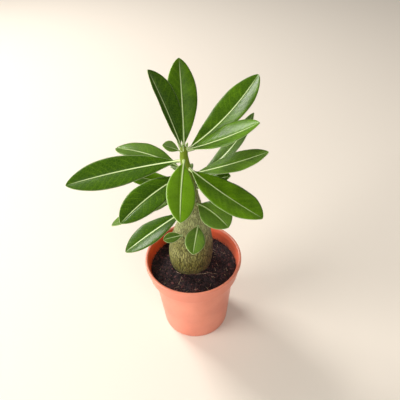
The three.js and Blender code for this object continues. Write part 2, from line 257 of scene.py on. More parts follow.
def closed_grid(rings):
    """Points and faces of a closed skin over rings of points, with a fan over each end ring."""
    count, sides = rings.shape[:2]
    points = rings.reshape(-1, 3)
    ring = np.arange(count - 1)[:, None] * sides
    side = np.arange(sides)[None, :]
    after = (side + 1) % sides
    quads = np.stack([ring + side, ring + after, ring + sides + after, ring + sides + side], -1)
    first, last = len(points), len(points) + 1
    points = np.vstack([points, rings[0].mean(0), rings[-1].mean(0)])
    top = (count - 1) * sides
    fans = [(first, int(b), int(a)) for a, b in zip(side[0], after[0])]
    fans += [(last, int(top + a), int(top + b)) for a, b in zip(side[0], after[0])]
    return points, quads.reshape(-1, 4).tolist() + fans


def over_points(rings, values, first=0, last=0):
    """A value for each point of a closed grid: over its rings, then at its two ends."""
    return np.concatenate([np.broadcast_to(values, rings.shape[:2]).reshape(-1), [first, last]])


def on_circle(reach, angle, height):
    """Points about the upright axis, from their reach, angle and height."""
    return np.stack(np.broadcast_arrays(reach * np.cos(angle), reach * np.sin(angle), height), -1)


def full_turn(sides):
    """Even angles round a circle."""
    return 2 * np.pi * np.arange(sides) / sides


def share_between(values, low, high):
    """0 up to low, 1 from high on, and a straight rise between them."""
    return np.clip((values - low) / (high - low), 0, 1)


def merged(shapes):
    """Points and faces of several shapes as one."""
    all_points, all_faces = [], []
    start = 0
    for points, faces in shapes:
        all_points.append(points)
        all_faces += [tuple(start + i for i in face) for face in faces]
        start += len(points)
    return np.vstack(all_points), all_faces


def signed_volume(points, faces):
    """Volume inside the faces, below zero where they face inwards."""
    total = 0.0
    for sides in (3, 4):
        corners = np.array([face for face in faces if len(face) == sides])
        if not len(corners):
            continue
        origin = points[corners[:, 0]]
        for k in range(1, sides - 1):
            cross = np.cross(points[corners[:, k]], points[corners[:, k + 1]])
            total += np.einsum("ij,ij->", origin, cross)
    return total / 6


def add_object(name, data):
    """An object in the scene around its mesh, light or camera."""
    made = bpy.data.objects.new(name, data)
    bpy.context.scene.collection.objects.link(made)
    return made


def make_piece(name, points, faces, material, attributes=None, sharp_angle=None):
    """A smooth mesh object from points in millimetres, faced outwards, with its point attributes."""
    points = np.asarray(points, float)
    if signed_volume(points, faces) < 0:
        faces = [tuple(reversed(face)) for face in faces]
    mesh = bpy.data.meshes.new(name)
    mesh.from_pydata((points * MM).tolist(), [], faces)
    mesh.polygons.foreach_set("use_smooth", [True] * len(mesh.polygons))
    for key, values in (attributes or {}).items():
        layer = mesh.attributes.new(key, "FLOAT", "POINT")
        layer.data.foreach_set("value", np.asarray(values, np.float32))
    if sharp_angle is not None:
        mesh.set_sharp_from_angle(angle=sharp_angle)
    mesh.materials.append(material)
    mesh.validate()
    return add_object(name, mesh)


def settle(piece, slot, *nodes):
    """The piece rides on the body and stands for its solids, which are hidden. The slot is not used."""
    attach(piece, "root")
    if nodes:
        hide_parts(*nodes)


def stem_at(column, height):
    """A column of STEM_KNOTS at a height: a cubic through them, with slopes taken from their neighbours."""
    table = np.array(STEM_KNOTS, float)
    heights, values = table[:, 0], table[:, column]
    last = len(table) - 1
    before = np.maximum(np.arange(last + 1) - 1, 0)
    after = np.minimum(np.arange(last + 1) + 1, last)
    slopes = (values[after] - values[before]) / (heights[after] - heights[before])
    height = np.asarray(height, float)
    i = np.clip(np.searchsorted(heights, height, side="left") - 1, 0, last - 1)
    span = heights[i + 1] - heights[i]
    u = np.clip((height - heights[i]) / span, 0, 1)
    ease = u * u * (3 - 2 * u)
    start = u * (1 - u) ** 2
    end = u * u * (u - 1)
    return (1 - ease) * values[i] + ease * values[i + 1] + span * (slopes[i] * start + slopes[i + 1] * end)


def rough(grid, scale, octaves):
    """Turbulence over a grid of points, from about -1 to 1; scale is its features' size in millimetres."""
    values = [noise.fractal(Vector(p) / scale, 1.0, 2.0, octaves) for p in grid.reshape(-1, 3).tolist()]
    return np.reshape(values, grid.shape[:2])


def tube(path, radius, sides=5):
    """Points and faces of a thin tapering thread along a path of points."""
    path = np.asarray(path, float)
    forward = np.gradient(path, axis=0)
    forward /= np.linalg.norm(forward, axis=1, keepdims=True)
    across = np.cross(forward, [0.1, 0.2, 1.0])
    across /= np.linalg.norm(across, axis=1, keepdims=True)
    over = np.cross(across, forward)
    angle = full_turn(sides)[None, :, None]
    taper = 0.35 + 0.65 * np.sin(np.pi * np.linspace(0.08, 0.92, len(path)))
    reach = radius * taper[:, None, None]
    ring = np.cos(angle) * across[:, None] + np.sin(angle) * over[:, None]
    return closed_grid(path[:, None] + reach * ring)


def rounded(corners):
    """A profile of (radius, height, rounding) corners, each turned by a short curve of its rounding."""
    points = []
    for i, (x, y, size) in enumerate(corners):
        corner = np.array([x, y], float)
        if size == 0:
            points.append(corner)
            continue
        before = np.array(corners[i - 1][:2], float) - corner
        after = np.array(corners[i + 1][:2], float) - corner
        start = corner + before / np.linalg.norm(before) * size
        end = corner + after / np.linalg.norm(after) * size
        for t in np.arange(ROUND_STEPS + 1) / ROUND_STEPS:
            points.append((1 - t) ** 2 * start + 2 * t * (1 - t) * corner + t * t * end)
    return np.array(points)


# Materials


class Value:
    """One output of a material's nodes. Arithmetic on it adds Math nodes."""

    def __init__(self, finish, socket):
        self.finish = finish
        self.socket = socket

    def math(self, operation, *others):
        return self.finish.math(operation, self, *others)

    def __add__(self, other):
        return self.math("ADD", other)

    __radd__ = __add__

    def __sub__(self, other):
        return self.math("SUBTRACT", other)

    def __rsub__(self, other):
        return self.finish.math("SUBTRACT", other, self)

    def __mul__(self, other):
        return self.math("MULTIPLY", other)

    __rmul__ = __mul__

    def __abs__(self):
        return self.math("ABSOLUTE")

    def between(self, low, high):
        """0 at low, 1 at high, with soft ends."""
        settings = {"interpolation_type": "SMOOTHSTEP"}
        return self.finish.node("ShaderNodeMapRange", settings, {0: self, 1: low, 2: high})


class Finish:
    """A material in the making, around its Principled shader."""

    def __init__(self, name, **constants):
        self.material = bpy.data.materials.new(name)
        self.material.use_nodes = True
        self.tree = self.material.node_tree
        self.shader = self.tree.nodes["Principled BSDF"]
        self.wear(**constants)

    def node(self, kind, settings, inputs, output=0):
        """Adds a node: its settings first, then the values or links of its sockets."""
        made = self.tree.nodes.new(kind)
        for key, value in settings.items():
            setattr(made, key, value)
        for key, value in inputs.items():
            self.feed(made.inputs[key], value)
        return Value(self, made.outputs[output])

    def feed(self, socket, value):
        """Links a value to a socket, or sets it to a number or a colour."""
        if isinstance(value, Value):
            self.tree.links.new(value.socket, socket)
        elif socket.type == "RGBA":
            socket.default_value = (*value, 1)
        else:
            socket.default_value = value

    def math(self, operation, *values):
        """Adds a Math node for an operation on values."""
        return self.node("ShaderNodeMath", {"operation": operation}, dict(enumerate(values)))

    def attribute(self, name):
        """One of the piece's point attributes."""
        return self.node("ShaderNodeAttribute", {"attribute_name": name}, {}, "Fac")

    def place(self, stretch=(1, 1, 1)):
        """The point on the piece, in metres, stretched."""
        at = self.node("ShaderNodeTexCoord", {}, {}, "Object")
        return self.node("ShaderNodeVectorMath", {"operation": "MULTIPLY"}, {0: at, 1: stretch})

    def along(self, axis):
        """The place along an axis of the piece, in millimetres."""
        return self.node("ShaderNodeSeparateXYZ", {}, {0: self.place([1 / MM] * 3)}, axis)

    def cloud(self, size, detail=3, stretch=(1, 1, 1), roughness=0.5):
        """Noise with features of a size in metres."""
        inputs = {"Vector": self.place(stretch), "Scale": 1 / size, "Detail": detail, "Roughness": roughness}
        return self.node("ShaderNodeTexNoise", {}, inputs)

    def cells(self, size, stretch=(1, 1, 1), feature="F1"):
        """Distances in a cell pattern with cells of a size in metres."""
        inputs = {"Vector": self.place(stretch), "Scale": 1 / size}
        return self.node("ShaderNodeTexVoronoi", {"feature": feature}, inputs, "Distance")

    def layers(self, colour, *coats):
        """A colour under coats, each a share from 0 to 1 and the colour that it brings."""
        for share, coat in coats:
            colour = self.node("ShaderNodeMix", {"data_type": "RGBA"}, {0: share, 6: colour, 7: coat}, 2)
        return colour

    def bump(self, height, strength, depth):
        """A normal from a height of 0 to 1 that stands for a depth in metres."""
        inputs = {"Height": height, "Strength": strength, "Distance": depth}
        return self.node("ShaderNodeBump", {}, inputs, "Normal")

    def wear(self, **sockets):
        """Feeds the shader's sockets and hands over the material."""
        for key, value in sockets.items():
            self.feed(self.shader.inputs[key.replace("_", " ")], value)
        return self.material


def leaf_finish(name, looks, tone_shift):
    """Glossy leathery green with a pale midrib, faint veins, a thin pale margin and a duller underside,
    greyed on some leaves by age and by painted sheen haze.
    """
    finish = Finish(name, IOR=1.45, Specular_IOR_Level=0.17, Coat_Roughness=0.2, Coat_IOR=1.4)
    rib = finish.attribute("rib")
    vein = finish.attribute("vein")
    under = finish.attribute("underside")
    tone = finish.attribute("tone") + tone_shift
    # Partly an old leaf's lost green and gloss, partly painted sheen haze.
    dull = finish.attribute("dull")
    broad = finish.cloud(0.016, 2)
    grain = finish.cloud(0.0016, 3)
    stripe = abs((vein + broad * 1.4).math("FRACT") - 0.5) * 2
    shade = (tone + (broad - 0.5) * 0.9 + (grain - 0.5) * 0.3 + (stripe - 0.5) * 0.06).between(0, 1)
    line = stripe.between(0.9, 1)
    net = 1 - finish.cells(0.0022, feature="DISTANCE_TO_EDGE").between(0, 0.14)
    line_strength = 0.14 + broad.between(0.42, 0.58) * 0.3
    fine_veins = (line * line_strength).math("MAXIMUM", net * 0.16)
    margin = 1 - finish.attribute("edge").between(0.15, 0.6)
    colour = finish.layers(
        looks.deep_green,
        (shade, looks.bright_green),
        # Painted sheen haze, with an old leaf's faded green: a greyer green on some leaves.
        (dull, looks.underside_green),
        (fine_veins, looks.vein_green),
        (under * 0.75, looks.underside_green),
        (margin * 0.42, looks.rib_green),
        (rib * (1 - dull * 0.5), looks.rib_green),
    )
    pores = finish.cloud(0.0012, 2, roughness=0.7)
    roughness = 0.34 + (grain - 0.5) * 0.2 + (pores - 0.5) * 0.5 + under * 0.2 + rib * 0.05
    gloss = (0.05 + pores.between(0.38, 0.62) * 0.2) * (1 - under) * (1 - dull)
    height = pores * 0.5 + grain * 0.5 - line * 0.35 - net * 0.5
    normal = finish.bump(height, 0.28, 0.0002)
    return finish.wear(Base_Color=colour, Roughness=roughness, Coat_Weight=gloss, Normal=normal)


def bark_finish(looks):
    """Olive skin with fine dark upright fissures, paler up the neck and green on the young stem, and browner
    towards +X as painted shade on the side away from the lights.
    """
    finish = Finish(
        "desert_rose_skin", IOR=1.45, Specular_IOR_Level=0.35, Sheen_Weight=0.07, Sheen_Roughness=0.4
    )
    height = finish.along("Z")
    scar = finish.attribute("scar")
    broad = finish.cloud(0.012, 3)
    fine = finish.cloud(0.0006, 1, (1, 1, 0.12), 0.4)
    cracks = 1 - finish.cells(0.0016, (1, 1, 0.2), "DISTANCE_TO_EDGE").between(0, 0.17)
    fissure = (cracks * 0.9).math("MAXIMUM", (1 - fine.between(0.34, 0.48)) * 0.6)
    neck = height.between(*NECK_START) * (1 - height.between(*NECK_END) * 0.65)
    young = height.between(*YOUNG_SKIN)
    low = 1 - height.between(*LOW_SKIN)
    # Painted shade: the skin is browner towards +X, the side away from the lights.
    painted_shade_side = finish.along("X").between(*PAINTED_SHADE_SIDE) * (1 - young)
    skin = finish.layers(
        looks.olive,
        (broad.between(0.3, 0.7), looks.cream),
        (low * 0.5, looks.low_olive),
        (painted_shade_side * 0.6, looks.painted_shade_side),
        (neck * 0.7, looks.pale_neck),
        (fissure * (1 - young) * (1 - neck * 0.3), looks.fissure),
        (young * (0.9 + broad * 0.1), looks.young_green),
        (scar * (1 - young * 0.85), looks.scar),
    )
    relief = 1 - fissure * (1 - young * 0.8)
    normal = finish.bump(relief, 0.7, 0.0006)
    roughness = 0.62 + fissure * 0.2 - young * 0.06
    return finish.wear(Base_Color=skin, Roughness=roughness, Normal=normal)


def mix_finish(looks):
    """Dark moist potting mix: black crumbs with brown bark bits."""
    finish = Finish("potting_mix", IOR=1.45, Specular_IOR_Level=0.4)
    crumb = finish.attribute("crumb")
    fine = finish.cloud(0.0011, 4, roughness=0.7)
    shade = (crumb * 0.7 + fine * 0.6 - 0.25).between(0.2, 1)
    reddish = (crumb - 0.8).between(0, 0.2) * 0.45
    colour = finish.layers(looks.black_crumb, (shade, looks.brown_crumb), (reddish, looks.bark_bit))
    normal = finish.bump(fine * 0.7 + finish.cells(0.0016) * 0.5, 0.8, 0.0008)
    return finish.wear(Base_Color=colour, Roughness=0.62 + fine * 0.35, Normal=normal)


def fibre_finish(looks):
    """Dry root fibre, pale with soiled stretches."""
    finish = Finish("root_fibre", IOR=1.45, Specular_IOR_Level=0.3)
    fine = finish.cloud(0.0015, 2)
    colour = finish.layers(looks.dark_fibre, (fine.between(0.3, 0.7), looks.pale_fibre))
    normal = finish.bump(fine, 0.4, 0.0002)
    return finish.wear(Base_Color=colour, Roughness=0.7 + fine * 0.15, Normal=normal)


def plastic_finish(looks):
    """Terracotta-coloured satin plastic, deeper inside as painted glow of light through the thin wall and
    paler inside towards +X as painted light, with damp above the mix, dust and fine scuffs.
    """
    finish = Finish("terracotta_plastic", IOR=1.48, Specular_IOR_Level=0.8)
    height = finish.along("Z")
    inside = finish.attribute("inside")
    broad = finish.cloud(0.03, 3)
    grain = finish.cloud(0.0018, 3)
    scuffs = finish.cloud(0.004, 4, (1, 1, 0.06), 0.7)
    # Painted light: the inner wall is paler towards +X, the side that faces the lights.
    painted_light_side = finish.along("X").between(*PAINTED_LIGHT_SIDE)
    damp = inside * (1 - height.between(*DAMP_EDGE)) * grain.between(0.4, 0.62)
    dusty = (1 - inside) * (1 - height.between(*DUSTY_FOOT)) * grain.between(0.5, 0.7)
    colour = finish.layers(
        looks.plastic,
        (broad.between(0.25, 0.75), looks.plastic_light),
        (scuffs.between(0.6, 0.8) * 0.25, looks.plastic_light),
        # The deep inner colour is painted glow of light through the thin wall; it thins towards +X as
        # painted light.
        (inside * (0.95 - painted_light_side * 0.45), looks.inside_painted_glow),
        (damp * 0.85, looks.soil_dust),
        (dusty * 0.3, looks.soil_dust),
    )
    roughness = 0.4 + (grain - 0.5) * 0.16 + scuffs.between(0.55, 0.8) * 0.12 + damp * 0.3
    normal = finish.bump(grain * 0.6 + scuffs * 0.4, 0.18, 0.0002)
    return finish.wear(Base_Color=colour, Roughness=roughness, Normal=normal)


def floor_finish(looks):
    """Plain pale floor."""
    finish = Finish("pale_floor", IOR=1.45, Specular_IOR_Level=0.3)
    fine = finish.cloud(0.02, 3)
    return finish.wear(Base_Color=looks.floor_colour, Roughness=0.55 + fine * 0.1)


# Sizes and colours that a user may change


def length(name, description, default, low, high):
    """A length in metres whose default is given in millimetres."""
    return FloatProperty(
        name=name,
        description=description,
        default=default * MM,
        min=low * MM,
        max=high * MM,
        precision=5,
        subtype="DISTANCE",
        unit="LENGTH",
    )


def colour(name, description, default):
    """A colour as red, green and blue, in linear light."""
    return FloatVectorProperty(
        name=name, description=description, default=default, min=0, max=1, size=3, subtype="COLOR"
    )


def power(name, description, default):
    """The power of a light, in watts."""
    return FloatProperty(name=name, description=description, default=default, min=0, unit="POWER")


class PotSettings(bpy.types.PropertyGroup):
    height: length("Height", "Height of the pot's rim above the ground", POT_TOP / MM, 60, 160)
    rim_radius: length("Rim Radius", "Outer radius of the rolled rim", RIM_RADIUS / MM, 30, 90)
    sides: IntProperty(name="Sides", description="Facets round the pot", default=180, min=48, max=256)
    plastic: colour("Plastic", "Terracotta-coloured plastic", (0.72, 0.215, 0.135))
    plastic_light: colour("Light Plastic", "Its lighter cast", (0.82, 0.27, 0.17))
    # Painted glow: a deeper, more saturated red for light through the thin wall and bounced inside.
    inside_painted_glow: colour("Inside", "The pot's inner wall", (0.98, 0.11, 0.026))
    soil_dust: colour("Soil Dust", "Dried mix on the plastic", (0.10, 0.055, 0.04))


class MixSettings(bpy.types.PropertyGroup):
    crumbs: IntProperty(
        name="Crumbs", description="Loose crumbs on the surface", default=2400, min=0, max=4000
    )
    crumb_size: length("Crumb Size", "Radius of a common crumb", 0.62, 0.2, 1.5)
    grain: length("Grain", "Height of the surface's fine roughness", 0.55, 0, 1.2)
    black_crumb: colour("Black Crumb", "Darkest crumbs", (0.013, 0.008, 0.010))
    brown_crumb: colour("Brown Crumb", "Lighter crumbs", (0.125, 0.048, 0.050))
    bark_bit: colour("Bark Bit", "Reddish bits of bark", (0.24, 0.085, 0.08))
    pale_fibre: colour("Pale Fibre", "Dry root fibre", (0.70, 0.54, 0.36))
    dark_fibre: colour("Dark Fibre", "Soiled root fibre", (0.24, 0.14, 0.09))


class StemSettings(bpy.types.PropertyGroup):
    fissure_depth: length("Fissure Depth", "Depth of the upright folds in the skin", 0.28, 0, 0.8)
    scar_height: length("Scar Height", "Rise of the leaf scars on the neck", 0.55, 0, 1)
    olive: colour("Olive", "Skin of the swollen base", (0.23, 0.23, 0.05))
    cream: colour("Cream", "Pale patches on it", (0.38, 0.38, 0.13))
    low_olive: colour("Low Olive", "Greener skin near the mix", (0.20, 0.20, 0.022))
    # Painted shade: brown for the skin's side away from the lights.
    painted_shade_side: colour("Sunned", "Brown skin on the side of the sun", (0.22, 0.13, 0.065))
    pale_neck: colour("Neck", "Paler skin of the neck", (0.60, 0.65, 0.30))
    fissure: colour("Fissure", "The bottom of the fissures", (0.035, 0.032, 0.008))
    scar: colour("Scar", "Leaf scars", (0.52, 0.52, 0.28))
    young_green: colour("Young Stem", "Young stem near the growing tip", (0.18, 0.26, 0.008))


class LeafSettings(bpy.types.PropertyGroup):
    quilting: length("Quilting", "Rise of the blade between two veins", 0.04, 0, 0.6)
    rib_height: length("Midrib Height", "Rise of the midrib on the upper face", 0.42, 0, 1)
    deep_green: colour("Deep Green", "Darkest green of a blade", (0.032, 0.088, 0.001))
    bright_green: colour("Bright Green", "Brightest green of a blade", (0.145, 0.315, 0.004))
    vein_green: colour("Veins", "Side veins", (0.22, 0.40, 0.015))
    rib_green: colour("Midrib", "Midrib, stalk and margin", (0.86, 1.0, 0.52))
    underside_green: colour("Underside", "The duller lower face", (0.17, 0.26, 0.07))


class StageSettings(bpy.types.PropertyGroup):
    floor_colour: colour("Floor", "Plain pale floor", (0.84, 0.77, 0.68))
    sky_colour: colour("Surroundings", "Light from all around", WARM_WHITE)
    sky_strength: FloatProperty(
        name="Surroundings", description="Strength of the light from all around", default=0.24, min=0
    )
    side_power: power("Side Light", "Strength of the soft light from the left", 30)
    window_power: power("Window", "Strength of the soft light from behind left", 24)
    fill_power: power("Fill", "Strength of the light from the front", 16)


# Leaves


def leaf_directions(leaf, share):
    """The midrib's direction and the blade's own up and side directions at each share of the length."""
    pitch = np.radians(leaf.rise + leaf.bend * share)
    turn = np.radians(leaf.azimuth + leaf.sweep * share)
    along = np.stack([np.cos(pitch) * np.cos(turn), np.cos(pitch) * np.sin(turn), np.sin(pitch)], -1)
    upright = np.stack([-np.sin(pitch) * np.cos(turn), -np.sin(pitch) * np.sin(turn), np.cos(pitch)], -1)
    roll = math.radians(leaf.roll)
    up = upright * math.cos(roll) + np.cross(along, upright) * math.sin(roll)
    return along, up, np.cross(along, up)


def stem_centre(height):
    """The middle of the stem at a height."""
    return np.stack([stem_at(2, height), stem_at(3, height), np.asarray(height, float)], -1)


def leaf_root(leaf):
    """Where the stalk starts, a little inside the stem."""
    around = math.radians(leaf.azimuth if leaf.around is None else leaf.around)
    radius = float(stem_at(1, leaf.height))
    depth = max(0.8 * radius, radius - 2)
    return stem_centre(leaf.height) + depth * np.array([math.cos(around), math.sin(around), 0])


def midrib_at(leaf, share):
    """Points on the midrib at shares of the leaf's length."""
    steps = (np.arange(MIDRIB_STEPS) + 0.5) / MIDRIB_STEPS
    along = leaf_directions(leaf, steps)[0] * leaf.length / MIDRIB_STEPS
    points = leaf_root(leaf) + np.vstack([np.zeros(3), np.cumsum(along, axis=0)])
    marks = np.linspace(0, 1, MIDRIB_STEPS + 1)
    return np.stack([np.interp(share, marks, points[:, axis]) for axis in range(3)], -1)


def stalk_scale(leaf):
    """How thick the stalk and midrib are: less on a leaf that isn't full size."""
    return min(max(leaf.length / FULL_SIZE_LEAF, 0.5), 1)


def half_width_at(leaf, share):
    """Half the blade's width, which is never less than the stalk's."""
    stalk = STALK_LENGTH / leaf.length
    u = np.clip((share - stalk) / (1 - stalk), 0, 1)
    widest = OUTLINE_RISE / (OUTLINE_RISE + OUTLINE_FALL)
    outline = (u / widest) ** OUTLINE_RISE * ((1 - u) / (1 - widest)) ** OUTLINE_FALL
    point = 1 - 0.75 * np.clip((share - 0.96) / 0.04, 0, 1)
    stalk_half = STALK_HALF_WIDTH * (1.02 - share) ** 0.2 * stalk_scale(leaf) * point
    return np.maximum(leaf.width / 2 * outline, stalk_half)


def build_leaf(leaf, phase, looks, material):
    """A closed blade in rings round its section, from the stalk to the tip."""
    rows = int(np.clip(leaf.length * ROWS_PER_MILLIMETRE, *ROW_BOUNDS))
    half_count = HALF_COLUMNS if leaf.length >= FULL_SIZE_LEAF else SMALL_HALF_COLUMNS
    scale = stalk_scale(leaf)
    share = 0.5 - 0.5 * np.cos(np.pi * np.arange(rows + 1) / rows)
    step = np.linspace(-1, 1, 2 * half_count + 1)
    line = step * (0.5 + 0.5 * step**2)
    place = np.concatenate([line, line[-2:0:-1]])[None, :]
    face = np.ones_like(place)
    face[0, len(line) :] = -1
    rim = np.abs(place) == 1
    face[rim] = 0

    _, up, side = leaf_directions(leaf, share)
    centre = midrib_at(leaf, share)
    s = share[:, None]
    half = half_width_at(leaf, share)[:, None]
    out = np.abs(place)
    distance = half * out
    fold = math.radians(leaf.fold)
    soft_out = np.sqrt(out**2 + FOLD_SOFTNESS**2) - FOLD_SOFTNESS
    wave = WAVE * np.sin(3 * np.pi * s + phase) * out * place
    ruffle = RUFFLE * np.sin(8 * np.pi * s + 2.3 * phase + 1.5 * place) * out**4
    drop = EDGE_DROP * out**12
    lift = half * (math.sin(fold) * soft_out + CROWN * np.sin(np.pi * out) + wave + ruffle - drop)

    vein = (s * leaf.length - VEIN_SLANT * distance - VEIN_CURVE * distance**2) / VEIN_SPACING
    vein = vein + VEIN_STAGGER * (place > 0) + 0.12 * np.sin(5 * s * np.pi + phase)
    inner = np.sin(np.pi * np.clip(out, 0, 1)) ** 0.6
    ends = np.clip(s * 12, 0, 1) * np.clip((1 - s) * 10, 0, 1)
    quilt = looks.quilting / MM * scale * (0.5 - 0.5 * np.cos(2 * np.pi * vein)) * inner * ends

    edge = np.sqrt(np.clip(1 - out**14, 0, 1))
    rib_half = scale * (RIB_HALF_WIDTH * (1 - s) + TIP_RIB)
    bead_half = scale * (BEAD_HALF_WIDTH * (1 - s) + TIP_BEAD)
    bead = scale * looks.rib_height / MM * (0.85 * (1 - s) + 0.15) * np.exp(-((distance / bead_half) ** 2))
    furrow = FURROW_DEPTH * scale * np.exp(-(((distance - 2.3 * bead_half) / bead_half) ** 2)) * ends
    stalk_round = STALK_ROUND * scale * np.sqrt(np.clip(1 - out**2, 0, 1)) * np.clip(1 - s * 14, 0, 1)
    top = BLADE_THICKNESS / 2 * edge + bead - furrow + stalk_round + quilt
    rib_depth = scale * (RIB_DEPTH * (1 - s) + TIP_RIB)
    keel = rib_depth * np.exp(-((distance / (0.95 * rib_half)) ** 2))
    under = BLADE_THICKNESS / 2 * edge + keel - quilt * 0.6
    offset = np.where(face > 0, top, np.where(face < 0, -under, 0))

    rings = (
        centre[:, None]
        + side[:, None] * (half * place * math.cos(fold))[:, :, None]
        + up[:, None] * (lift + offset)[:, :, None]
    )
    points, faces = closed_grid(rings)

    pale_line = scale * (PALE_LINE_HALF_WIDTH * (1 - s) + TIP_PALE_LINE)
    rib_mask = np.exp(-((distance / pale_line) ** 4)) * np.clip((1 - s) * 6, 0, 1)
    rib_mask = np.maximum(rib_mask, 0.6 * np.clip(1.3 - s * leaf.length / STALK_LENGTH, 0, 1))
    attributes = {
        "edge": over_points(rings, half * (1 - out)),
        "rib": over_points(rings, rib_mask, first=1),
        "vein": over_points(rings, vein),
        "underside": over_points(rings, 0.5 - 0.5 * face, 0.5, 0.5),
        "tone": np.full(len(points), leaf.tone),
        "dull": np.full(len(points), leaf.dull),
    }
    return make_piece(leaf.name + "_blade", points, faces, material, attributes)


# Stem


def stem_lobes(angle, height):
    """How far the swollen base bulges from round."""
    swollen = 1 - share_between(height, *SWOLLEN_END)
    return 1 + swollen * (0.02 * np.sin(2 * angle + 0.6) + 0.015 * np.sin(5 * angle + height / 17))


def leaf_scars():
    """Height, angle and size of the scars that fallen leaves left, in a spiral up the neck."""
    scars = []
    height, angle = SCAR_FIRST, 0.4
    rng = random.Random(11)
    while height < SCAR_LAST:
        radius = float(stem_at(1, height))
        scars.append((height, angle, 1.2 + 0.07 * radius, radius))
        height += 1.1 + 0.1 * radius + rng.uniform(-0.2, 0.2)
        angle += GOLDEN_TURN + rng.uniform(-0.15, 0.15)
    return scars


def build_stem(looks, material):
    """Swollen base, neck and stem as one skin, with upright folds, lumps and leaf scars."""
    height = np.unique(np.concatenate([np.linspace(*band) for band in STEM_BANDS]))[:, None]
    angle = full_turn(STEM_SIDES)[None, :]
    radius = stem_at(1, height)
    centre = stem_centre(height[:, 0]) * [1, 1, 0]

    scar = np.zeros((len(height), STEM_SIDES))
    lift = np.zeros_like(scar)
    for scar_height, turn, size, ring_radius in leaf_scars():
        swing = (angle - turn + np.pi) % (2 * np.pi) - np.pi
        u = swing * ring_radius / (SCAR_WIDE * size)
        v = (height - scar_height) / (SCAR_TALL * size)
        reach = np.sqrt(u**2 + v**2)
        pad = np.exp(-(reach**4))
        lift += pad - 0.7 * np.exp(-((reach / 0.45) ** 2))
        scar = np.maximum(scar, np.exp(-((reach / 0.7) ** 4)))
    scars_rise = share_between(height, *SCARS_RISE)
    lift *= looks.scar_height / MM * scars_rise
    scar *= scars_rise

    reach = radius * stem_lobes(angle, height)
    flat = on_circle(reach, angle, height * FOLD_SQUEEZE)
    folds = rough(flat, FOLD_SIZE, 3)
    lumps = rough(flat * [1, 1, 3], LUMP_SIZE, 2)
    mature = 1 - share_between(height, *SMOOTH_SKIN)
    folds *= looks.fissure_depth / MM * (0.25 + 0.75 * mature)
    lumps *= LUMP_HEIGHT * mature
    reach = reach + share_between(height, *OPEN_AIR) * (folds + lumps + lift)
    rings = on_circle(reach, angle, height) + centre[:, None]

    caps = []
    for shrink, rise in STEM_DOME:
        cap = centre[-1] + (rings[-1] - centre[-1]) * [shrink, shrink, 1]
        cap[:, 2] += rise
        caps.append(cap)
    rings = np.concatenate([rings, np.array(caps)])
    scar = np.concatenate([scar, np.zeros((len(STEM_DOME), STEM_SIDES))])
    points, faces = closed_grid(rings)
    points[-2][2] -= FOOT_DIP
    points[-1][2] += DOME_RISE
    return make_piece("swollen_stem", points, faces, material, {"scar": over_points(rings, scar)})


# Potting mix


def soil_height(x, y):
    """The mix's surface at a point, in millimetres."""
    broad = np.sin(0.21 * x + 0.8) * np.cos(0.17 * y - 0.4)
    clods = np.sin(0.52 * x + 0.31 * y) * np.sin(0.47 * y - 0.23 * x + 1.3)
    flatness = np.clip(np.hypot(x, y) / MIX_RADIUS, 0, 1) ** 6
    return SOIL_TOP + (1 - flatness) * SOIL_RELIEF * (0.5 * broad + 0.5 * clods)


def stem_outline(angle, height, growth):
    """Points round the stem at a height, moved outwards by a growth."""
    reach = stem_at(1, height) * stem_lobes(angle, height) + growth
    return on_circle(reach, angle, height) + stem_centre(height) * [1, 1, 0]


def build_mix(looks, material):
    """The mix as one closed body round the buried stem, with a crumbly surface."""
    angle = full_turn(SOIL_SIDES)
    seat = [stem_outline(angle, height, SEAT_GAP) for height in SEAT_HEIGHTS]
    inner_edge = stem_outline(angle, SOIL_TOP, 0.1)
    outer_edge = on_circle(MIX_RADIUS, angle, SOIL_TOP)
    share = (np.arange(SOIL_ROWS + 1) / SOIL_ROWS)[:, None, None]
    top = inner_edge * (1 - share) + outer_edge * share
    top[:, :, 2] = soil_height(top[:, :, 0], top[:, :, 1])
    grains = rough(top, GRAIN_SIZE, 4)
    clods = rough(top, CLOD_SIZE, 2)
    edge_fade = np.ones((SOIL_ROWS + 1, 1))
    edge_fade[-1] = 0
    mound = MOUND * np.exp(-np.arange(SOIL_ROWS + 1) / 5)
    top[:, :, 2] += (looks.grain / MM * grains * 1.5 + CLOD_HEIGHT * clods) * edge_fade + mound[:, None]
    body_wall = BODY_TOP_RADIUS - POT_WALL - SEAT_GAP
    base_wall = BASE_RADIUS - POT_WALL - SEAT_GAP
    lower = [
        (MIX_RADIUS, LEDGE_HEIGHT + 1.3),
        (body_wall, LEDGE_HEIGHT + 0.4),
        ((body_wall + base_wall) / 2, (LEDGE_HEIGHT + POT_FLOOR) / 2 + 1),
        (base_wall, POT_FLOOR + 1.9),
        (base_wall - 1.7, SOIL_FOOT),
        (base_wall * 0.5, SOIL_FOOT),
        (1, SOIL_FOOT),
    ]
    lower = [on_circle(radius, angle, height) for radius, height in lower]
    rings = np.concatenate([np.array(seat), top, np.array(lower)])
    points, faces = closed_grid(rings)
    points[-2][2] -= SEAT_DIP
    shade = np.zeros(rings.shape[:2])
    shade[len(seat) : len(seat) + len(top)] = 0.35 + 0.5 * grains
    return make_piece("potting_mix", points, faces, material, {"crumb": over_points(rings, shade)})


def crumb_shapes():
    """Unit points and faces of a coarse and a finer rounded lump."""
    shapes = []
    for subdivisions in (1, 2):
        lump = bmesh.new()
        bmesh.ops.create_icosphere(lump, subdivisions=subdivisions, radius=1)
        points = np.array([tuple(vert.co) for vert in lump.verts])
        shapes.append((points, [tuple(vert.index for vert in face.verts) for face in lump.faces]))
        lump.free()
    return shapes


